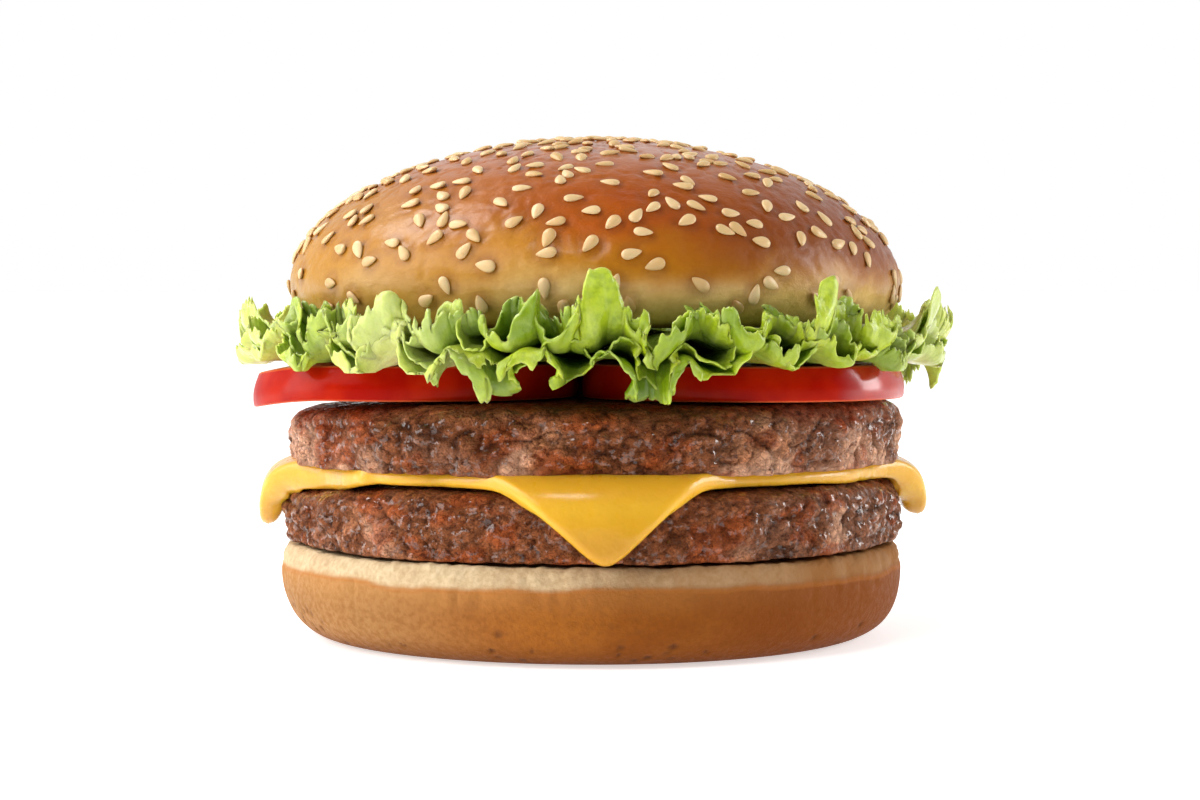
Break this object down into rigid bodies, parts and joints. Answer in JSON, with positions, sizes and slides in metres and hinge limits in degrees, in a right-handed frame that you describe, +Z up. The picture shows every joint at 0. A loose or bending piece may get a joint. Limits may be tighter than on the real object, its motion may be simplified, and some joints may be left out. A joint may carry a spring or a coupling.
{
  "type": "double cheeseburger",
  "caption": "Double cheeseburger in a seeded bun with patties, melted cheese, tomato slices and ruffled lettuce, standing on the bun's flat base.",
  "frame": {"origin": "centre of the bun heel's flat base, on the surface that the burger stands on", "axes": "+Z up through the stack, -Y towards the front, where a corner of the cheese hangs, +X to the right of it"},
  "size_m": [0.1183, 0.1169, 0.0812],
  "materials": {
    "heel_crust": "matte baked crust",
    "meat": "grilled ground meat, moist",
    "cheese": "smooth melted cheese",
    "tomato": "wet ripe skin",
    "lettuce": "crisp leaf",
    "crown_crust": "glazed baked crust with sesame seeds"
  },
  "bodies": {
    "root": {"heel_bun": "heel_crust", "patty_lower": "meat", "cheese_slice": "cheese", "patty_upper": "meat", "tomato_left": "tomato", "tomato_right": "tomato", "tomato_back": "tomato", "lettuce_low_left": "lettuce", "lettuce_low_right": "lettuce", "lettuce_low_back": "lettuce", "lettuce_high_front": "lettuce", "lettuce_high_right": "lettuce", "lettuce_high_left": "lettuce", "crown_bun": "crown_crust"}
  },
  "joints": []
}
